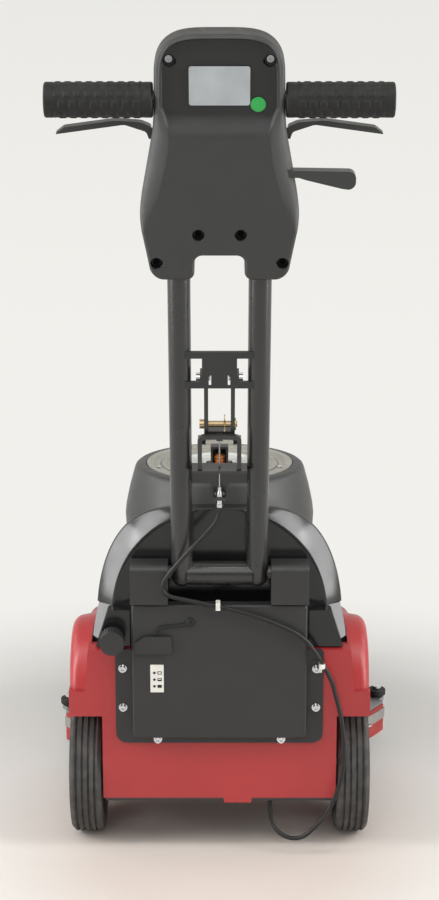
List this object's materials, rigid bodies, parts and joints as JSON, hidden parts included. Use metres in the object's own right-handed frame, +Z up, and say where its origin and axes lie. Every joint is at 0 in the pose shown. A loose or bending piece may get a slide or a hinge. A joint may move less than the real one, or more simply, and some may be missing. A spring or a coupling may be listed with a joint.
{
  "type": "walk-behind floor scrubber",
  "caption": "Compact walk-behind floor scrubber with a round pad deck, arched tanks with a hinged lid, curved swinging squeegee and tilting tube handle with a control console.",
  "frame": {"origin": "on the floor under the centre of the scrubbing pad", "axes": "+X right as seen from behind, +Y forward, +Z up"},
  "size_m": [0.5078, 0.841, 1.1183],
  "materials": {
    "red_plastic": "glossy red moulded plastic",
    "tank_plastic": "glossy black moulded plastic",
    "dark_plastic": "satin dark grey plastic",
    "deck_paint": "satin black paint",
    "black_paint": "gloss black paint",
    "motor_paint": "satin dark paint",
    "steel": "plain steel",
    "bright_screws": "bright plated",
    "zinc_yellow": "yellow zinc plating",
    "soft_rubber": "matt black rubber",
    "tyre_rubber": "dark grey solid rubber",
    "hub_plastic": "grey plastic",
    "lid_plastic": "milky translucent plastic",
    "float_plastic": "copper coloured plastic",
    "blade_rubber": "red rubber",
    "plate_metal": "brushed silver, bare",
    "cast_metal": "plain cast aluminium",
    "white_plastic": "off-white plastic",
    "brass_fitting": "plain brass",
    "pad_fibre": "red non-woven fibre"
  },
  "bodies": {
    "base": {"chassis_shell": "red_plastic", "undertray": "dark_plastic", "axle": "steel", "axle_caps": "dark_plastic", "brush_deck": "deck_paint", "gear_motor": "motor_paint", "vacuum_motor": "motor_paint", "batteries": "dark_plastic", "solution_tank": "tank_plastic", "recovery_tank": "tank_plastic", "lid_pin": "steel", "rear_cover": "dark_plastic", "cover_screws": "bright_screws", "charge_socket": "dark_plastic", "charge_indicator": "white_plastic", "flow_valve": "brass_fitting", "pivot_blocks": "dark_plastic", "pivot_shaft": "steel", "cable_upper": "soft_rubber", "cable_lower": "soft_rubber", "cable_clips": "white_plastic"},
    "wheel_left": {"hub_left": "hub_plastic", "tyre_left": "tyre_rubber"},
    "wheel_right": {"hub_right": "hub_plastic", "tyre_right": "tyre_rubber"},
    "brush": {"pad_driver": "dark_plastic", "scrub_pad": "pad_fibre"},
    "swing": {"swing_ring": "dark_plastic"},
    "squeegee": {"squeegee_body": "cast_metal", "squeegee_blades": "blade_rubber", "squeegee_straps": "steel", "squeegee_bolts": "bright_screws"},
    "roller_left": {"end_roller_left": "soft_rubber"},
    "roller_right": {"end_roller_right": "soft_rubber"},
    "lid": {"tank_lid": "lid_plastic", "float_cage": "dark_plastic", "lid_screws": "bright_screws"},
    "float": {"lid_float": "float_plastic"},
    "flap": {"charge_flap": "soft_rubber"},
    "knob": {"flow_knob": "dark_plastic"},
    "handle": {"handle_tubes": "black_paint", "handlebar": "steel", "grips": "soft_rubber", "console_rear": "dark_plastic", "console_front": "dark_plastic", "console_screws": "bright_screws", "spec_plate": "plate_metal", "brace_bracket": "black_paint", "guide_bolts": "bright_screws", "link_bars": "black_paint", "clevis_pin": "zinc_yellow", "cable_bracket": "black_paint", "cable_adjuster": "bright_screws", "inner_wire": "steel"},
    "paddle_left": {"drive_paddle_left": "dark_plastic"},
    "paddle_right": {"drive_paddle_right": "dark_plastic"},
    "release": {"release_lever": "dark_plastic"},
    "rocker_power": {"switch_power": "dark_plastic"},
    "rocker_vacuum": {"switch_vacuum": "dark_plastic"},
    "bail": {"lift_bail": "black_paint"}
  },
  "joints": [
    {"name": "wheel_left_spin", "type": "hinge", "parent": "base", "child": "wheel_left", "pos_m": [-0.185, -0.345, 0.1], "axis": [1, 0, 0], "continuous": true},
    {"name": "wheel_right_spin", "type": "hinge", "parent": "base", "child": "wheel_right", "pos_m": [0.185, -0.345, 0.1], "axis": [1, 0, 0], "continuous": true},
    {"name": "brush_spin", "type": "hinge", "parent": "base", "child": "brush", "pos_m": [0, 0, 0.03], "axis": [0, 0, 1], "continuous": true},
    {"name": "squeegee_swing", "type": "hinge", "parent": "base", "child": "swing", "pos_m": [0, 0, 0.1415], "axis": [0, 0, 1], "range_deg": [-29.4, 20.6]},
    {"name": "squeegee_lift", "type": "slide", "parent": "swing", "child": "squeegee", "axis": [0, 0, 1], "range_m": [-0.0461, 0]},
    {"name": "roller_left_spin", "type": "hinge", "parent": "squeegee", "child": "roller_left", "pos_m": [-0.23289, -0.11505, 0.098], "axis": [0, 0, 1], "continuous": true},
    {"name": "roller_right_spin", "type": "hinge", "parent": "squeegee", "child": "roller_right", "pos_m": [0.24775, -0.07806, 0.098], "axis": [0, 0, 1], "continuous": true},
    {"name": "lid_open", "type": "hinge", "parent": "base", "child": "lid", "pos_m": [0, -0.124, 0.5168], "axis": [-1, 0, 0], "range_deg": [0, 100]},
    {"name": "float_rise", "type": "slide", "parent": "lid", "child": "float", "axis": [0, 0, 1], "range_m": [0, 0.009]},
    {"name": "flap_open", "type": "hinge", "parent": "base", "child": "flap", "pos_m": [-0.084, -0.4603, 0.325], "axis": [-1, 0, 0], "range_deg": [0, 100]},
    {"name": "flow_turn", "type": "hinge", "parent": "base", "child": "knob", "pos_m": [-0.1437, -0.458, 0.318], "axis": [0, -1, 0], "range_deg": [0, 270]},
    {"name": "handle_tilt", "type": "hinge", "parent": "base", "child": "handle", "pos_m": [0, -0.44, 0.408], "axis": [1, 0, 0], "range_deg": [-10, 45], "deforming": ["cable_upper"]},
    {"name": "paddle_left_pull", "type": "hinge", "parent": "handle", "child": "paddle_left", "pos_m": [-0.084, -0.56359, 0.99541], "axis": [1, 0, 0], "range_deg": [0, 12], "stiffness_Nm_per_rad": 1.5},
    {"name": "paddle_right_pull", "type": "hinge", "parent": "handle", "child": "paddle_right", "pos_m": [0.084, -0.56359, 0.99541], "axis": [1, 0, 0], "range_deg": [0, 12], "stiffness_Nm_per_rad": 1.5},
    {"name": "release_pull", "type": "hinge", "parent": "handle", "child": "release", "pos_m": [0.075, -0.58091, 0.95006], "axis": [0, 0.972, 0.2351], "range_deg": [0, 18], "stiffness_Nm_per_rad": 1, "springref_deg": -5.73},
    {"name": "power_rock", "type": "hinge", "parent": "handle", "child": "rocker_power", "pos_m": [-0.022, -0.53815, 0.96041], "axis": [1, 0, 0], "range_deg": [0, 14]},
    {"name": "vacuum_rock", "type": "hinge", "parent": "handle", "child": "rocker_vacuum", "pos_m": [0.022, -0.53815, 0.96041], "axis": [1, 0, 0], "range_deg": [0, 14]},
    {"name": "bail_slide", "type": "slide", "parent": "handle", "child": "bail", "axis": [0, -0.2351, 0.972], "range_m": [-0.0325, 0], "deforming": ["inner_wire"]}
  ],
  "couplings": [
    {"joint": "squeegee_lift", "follows": "bail_slide", "ratio": 1.4185}
  ]
}
